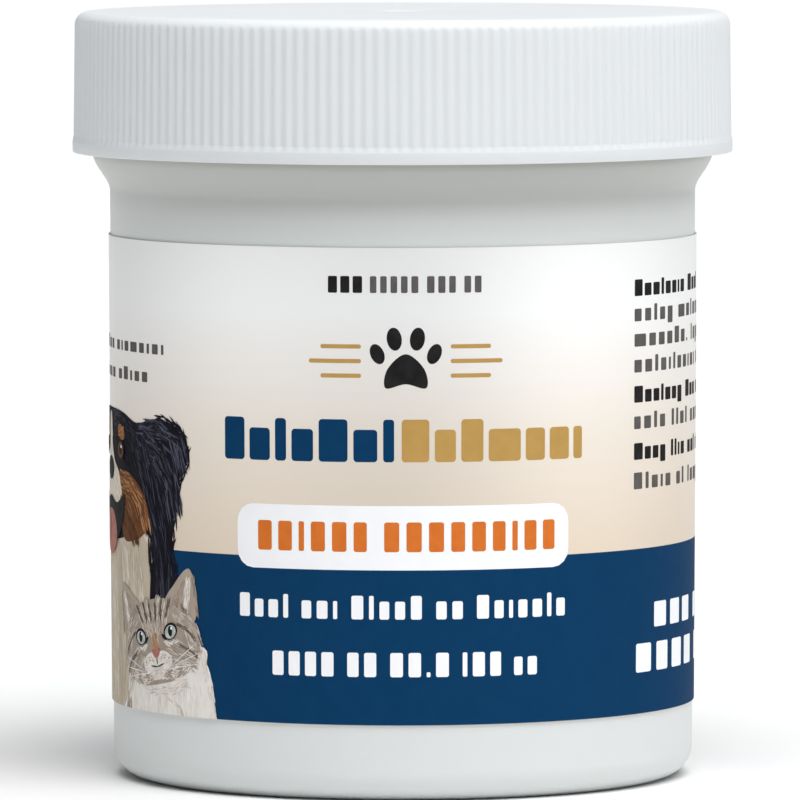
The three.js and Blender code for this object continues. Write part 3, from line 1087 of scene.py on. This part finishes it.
# %% Dog: black coat
COAT_EDGE = [
    (10.6, 30.9), (13.3, 30.6), (14.6, 29.6), (15.1, 28.4), (14.7, 27.0), (13.9, 25.4),
    (13.6, 23.6), (13.3, 21.6), (12.9, 20.2), (13.5, 18.6), (13.3, 17.2), (12.5, 15.9)]
coat_bm = drawing()
blob(coat_bm, mirrored([
    (0, 31.3), (4.4, 31.1), (7.6, 30.4), *COAT_EDGE, (12.3, 11.0), (12.6, 5.4), (10.0, 5.4),
    (9.6, 11.0), (9.9, 17.4), (10.3, 19.6), (9.4, 21.2), (6.0, 21.0), (3.0, 20.4)], DOG), tone=0.25)
for stroke_row in (
        (COAT_EDGE, 0.8, 170, 1.8, 0.17, (0.1, 0.5), 22),
        ([(12.5, 16.0), (12.2, 11.0), (12.5, 5.8)], 0.8, 50, 1.8, 0.17, (0.1, 0.4), 22),
        ([(8.0, 30.1), (11.4, 30.0), (13.9, 28.8), (14.5, 27.2)], 1.8, 120, 2.2, 0.15, (0.2, 1.0)),
        ([(8.8, 28.9), (11.2, 27.8), (12.8, 25.8), (13.4, 23.4)], 2.4, 150, 2.4, 0.15, (0.1, 0.95)),
        ([(8.4, 28.2), (10.0, 25.2), (11.2, 22.2), (12.0, 18.6), (12.2, 16.2)], 2.4, 190, 2.4, 0.15,
         (0.1, 0.8)),
        ([(10.4, 20.6), (10.7, 18.4), (11.0, 12.0), (11.2, 6.0)], 1.8, 110, 1.8, 0.14, (0.1, 0.6)),
        ([(0.9, 30.5), (3.4, 30.5), (6.6, 29.4), (7.8, 27.4)], 1.6, 110, 1.3, 0.13, (0.2, 0.75)),
        ([(2.0, 28.9), (4.6, 28.4), (6.8, 26.6)], 2.2, 80, 1.1, 0.12, (0.1, 0.5))):
    combed(coat_bm, *stroke_row, mirror_at=DOG)
printed("print_dog_coat", coat_bm, black_fur, layer=4)

# %% Dog: tan cheeks and brows
CHEEK = [(3.0, 25.6), (5.4, 26.2), (8.0, 25.2), (9.6, 23.4), (9.4, 21.6), (7.2, 20.6), (4.4, 20.8)]
tan_bm = drawing()
for side, outline in both_sides(CHEEK, DOG):
    blob(tan_bm, outline, tone=0.3)
    ellipse(tan_bm, DOG + side * DOG_EYE, 29.4, 1.0, 0.6, side * 20, tone=0.6)
for stroke_row in (
        ([(3.2, 25.4), (6.0, 25.2), (8.4, 23.6), (9.3, 21.4)], 1.8, 110, 1.5, 0.14, (0.3, 1.0)),
        ([(3.4, 24.2), (6.0, 23.6), (7.8, 21.4)], 1.8, 90, 1.4, 0.14, (0.1, 0.7)),
        ([(4.6, 22.6), (6.6, 21.4), (7.4, 20.4)], 1.4, 50, 1.2, 0.13, (0.0, 0.35)),
        ([(3.2, 29.2), (4.7, 29.6)], 0.6, 18, 0.8, 0.12, (0.4, 0.9))):
    combed(tan_bm, *stroke_row, mirror_at=DOG)
printed("print_dog_tan", tan_bm, tan_fur, layer=10)

# %% Dog: muzzle
muzzle_bm = drawing()
blob(muzzle_bm, mirrored([
    (0, 31.0), (0.5, 30.2), (0.6, 28.6), (1.6, 27.0), (3.2, 26.0), (3.8, 24.4), (2.8, 23.2), (0, 23.6)],
    DOG), tone=0.75)
combed(muzzle_bm, [(0.2, 30.4), (0.4, 28.0), (1.6, 26.2)], 0.8, 50, 1.0, 0.12, (0.6, 1.0), mirror_at=DOG)
combed(muzzle_bm, [(0.6, 26.4), (2.2, 25.4), (3.3, 24.0)], 1.8, 80, 0.9, 0.12, (0.5, 1.0), mirror_at=DOG)
printed("print_dog_muzzle", muzzle_bm, cream_fur, layer=13)

# %% Cat: chest and shoulders
body_bm = drawing()
blob(body_bm, [
    (-28.6, 11.2), (-18.8, 12.4), (-17.8, 10.6), (-17.2, 8.6), (-16.8, 6.6), (-17.0, 5.4),
    (-30.2, 5.4), (-29.8, 7.6), (-29.3, 9.6)], tone=0.93)
combed(body_bm, [(-28.4, 10.0), (-29.2, 7.6), (-29.9, 5.6)], 1.0, 60, 1.2, 0.13, (0.55, 0.85))
combed(body_bm, [(-18.3, 11.8), (-17.5, 9.0), (-17.1, 6.0)], 0.7, 70, 1.3, 0.13, (0.75, 1.0))
for across in (-28.0, -25.8, -23.6, -21.4, -19.2):
    combed(body_bm, [(across * 0.98 - 0.4, 9.0), (across, 5.6)], 2.4, 56, 1.4, 0.12, (0.82, 1.0), stray=14)
combed(
    body_bm, [(-27.6, 9.3), (-25.0, 8.4), (-22.4, 8.3), (-20.0, 9.2)], 0.9, 60, 0.9, 0.1, (0.68, 0.9),
    stray=25)
combed(body_bm, [(-23.2, 8.0), (-21.0, 7.0), (-20.2, 5.6)], 0.3, 20, 1.0, 0.1, (0.7, 0.85))
combed(body_bm, [(-29.5, 7.0), (-29.4, 5.5)], 1.2, 30, 0.9, 0.13, (0.35, 0.6))
printed("print_cat_body", body_bm, tabby_fur, layer=10)

# %% Cat: head
CAT = -24.5
CAT_MIDDLE = 12.6
CAT_TILT = math.radians(-10)
CAT_EYE = 2.35
CAT_EYE_HEIGHT = 12.98


def tip_head(bm):
    """Turns a straight drawing of the cat's head about its middle, as a curious cat does."""
    bmesh.ops.rotate(
        bm, verts=bm.verts, cent=(CAT, 0, CAT_MIDDLE), matrix=Matrix.Rotation(CAT_TILT, 3, "Y"))
    return bm


EAR = [(2.0, 15.4), (3.6, 16.8), (5.2, 17.8), (5.9, 17.5), (6.2, 15.4), (5.5, 13.4), (3.6, 13.6)]
head_bm = drawing()
for side, outline in both_sides(EAR, CAT):
    blob(head_bm, outline, tone=0.55)
blob(head_bm, mirrored([
    (0, 15.9), (2.4, 15.7), (4.6, 14.9), (5.6, 13.2), (5.7, 11.4), (4.9, 9.9), (2.9, 9.0), (0, 8.8)],
    CAT), tone=0.5)
for stroke_row in (
        ([(3.2, 15.0), (4.8, 16.9)], 0.9, 34, 0.9, 0.1, (0.35, 0.6)),
        ([(4.6, 14.6), (5.4, 16.8)], 0.8, 40, 1.1, 0.1, (0.6, 1.0)),
        ([(6.0, 14.0), (6.0, 17.0)], 0.3, 24, 0.9, 0.1, (0.3, 0.5)),
        ([(0.4, 13.2), (1.6, 15.5)], 2.2, 120, 0.8, 0.1, (0.45, 0.85)),
        ([(3.2, 14.4), (5.0, 13.0), (5.5, 11.0)], 1.6, 110, 0.9, 0.1, (0.45, 0.85)),
        ([(2.0, 11.8), (4.2, 10.8), (5.2, 10.2)], 2.0, 120, 0.9, 0.1, (0.4, 0.85)),
        ([(0.4, 9.6), (2.4, 9.4), (4.2, 10.0)], 1.0, 70, 0.7, 0.1, (0.6, 1.0), 30),
        ([(0.35, 14.1), (0.5, 15.6)], 0.26, 24, 0.7, 0.09, (0.0, 0.3)),
        ([(1.05, 14.1), (1.5, 15.6)], 0.26, 24, 0.7, 0.09, (0.0, 0.3)),
        ([(1.85, 14.2), (2.6, 15.5)], 0.26, 24, 0.7, 0.09, (0.0, 0.3)),
        ([(3.4, 13.4), (4.5, 12.9), (5.4, 11.9)], 0.26, 26, 0.7, 0.09, (0.0, 0.3)),
        ([(3.3, 11.7), (4.4, 11.3), (5.2, 10.6)], 0.26, 24, 0.7, 0.09, (0.05, 0.35)),
        ([(1.5, 12.1), (2.3, 11.9), (3.2, 12.2)], 0.4, 24, 0.6, 0.09, (0.8, 1.0))):
    combed(head_bm, *stroke_row, mirror_at=CAT)
combed(head_bm, [(CAT, 13.6), (CAT, 11.9)], 1.1, 60, 0.7, 0.1, (0.55, 0.8))
ellipse(head_bm, CAT, 9.75, 1.0, 0.6, tone=0.85)
pairs(head_bm, CAT, (1.0, 10.7, 1.2, 0.8, 12), tone=0.9)
combed(head_bm, [(0.3, 11.05), (2.0, 10.55)], 0.9, 60, 0.6, 0.09, (0.75, 1.0), stray=25, mirror_at=CAT)
combed(head_bm, [(0.1, 9.8), (0.7, 9.7)], 0.6, 24, 0.5, 0.09, (0.7, 0.95), stray=35, mirror_at=CAT)
combed(head_bm, [(0.5, 10.9), (1.9, 10.85)], 0.5, 8, 0.2, 0.09, (0.3, 0.5), stray=80, mirror_at=CAT)
printed("print_cat_head", tip_head(head_bm), tabby_fur, layer=14)

# %% Noses, mouths and eyes
bridge_bm = drawing()
combed(bridge_bm, [(CAT, 12.9), (CAT, 11.6)], 0.7, 40, 0.7, 0.1, (0.75, 1.0))
printed("print_cat_bridge", tip_head(bridge_bm), tan_fur, layer=20)

dark_bm = bmesh.new()
pairs(
    dark_bm, CAT, (CAT_EYE, CAT_EYE_HEIGHT, 0.95, 0.7, -12), (1.4, 12.6, 0.4, 0.15, 38),
    (0.5, 10.33, 0.52, 0.06, -10))
ellipse(dark_bm, CAT, 10.75, 0.07, 0.3)
tip_head(dark_bm)
blob(dark_bm, mirrored([(0, 23.9), (2.6, 23.4), (4.9, 24.2), (4.6, 22.4), (3.2, 20.6), (0, 19.6)], DOG))
ellipse(dark_bm, DOG, 26.2, 1.5, 1.0)
pairs(dark_bm, DOG, (DOG_EYE, DOG_EYE_HEIGHT, 0.95, 0.85, 0))
printed("print_dark_details", dark_bm, black, layer=21)

pink_bm = bmesh.new()
blob(pink_bm, mirrored([(0, 11.75), (0.62, 11.7), (0.42, 11.2), (0, 10.95)], CAT))
tip_head(pink_bm)
blob(pink_bm, mirrored([(0, 22.8), (1.6, 22.4), (2.5, 21.0), (2.0, 19.6), (0, 18.9)], DOG))
printed("print_noses", pink_bm, pink, layer=22)

iris_bm = bmesh.new()
pairs(iris_bm, CAT, (CAT_EYE, CAT_EYE_HEIGHT - 0.06, 0.76, 0.55, -12))
printed("print_irises", tip_head(iris_bm), eye_ink, layer=22)

brown_bm = drawing()
pairs(brown_bm, DOG, (DOG_EYE, DOG_EYE_HEIGHT, 0.72, 0.66, 0), tone=0.35)
printed("print_dog_irises", brown_bm, tan_fur, layer=22)

pupil_bm = bmesh.new()
pairs(pupil_bm, CAT, (CAT_EYE, CAT_EYE_HEIGHT, 0.28, 0.44, 0))
tip_head(pupil_bm)
pairs(pupil_bm, DOG, (DOG_EYE, DOG_EYE_HEIGHT, 0.4, 0.4, 0))
ellipse(pupil_bm, DOG, 21.2, 0.1, 1.2)
printed("print_pupils", pupil_bm, black, layer=23)

# %% Glints and whiskers
glint_bm = bmesh.new()
for side in (-1, 1):
    ellipse(glint_bm, CAT + side * CAT_EYE + 0.2, 13.2, 0.12, 0.12, sides=12)
    for tilt in (66, 78, 90):
        ellipse(glint_bm, CAT + side * 3.7, 10.3 + (80 - tilt) * 0.04, 0.03, 2.1, side * tilt, sides=8)
tip_head(glint_bm)
for side in (-1, 1):
    ellipse(glint_bm, DOG + side * DOG_EYE + 0.25, 28.2, 0.15, 0.15, sides=12)
printed("print_glints", glint_bm, white, layer=24)
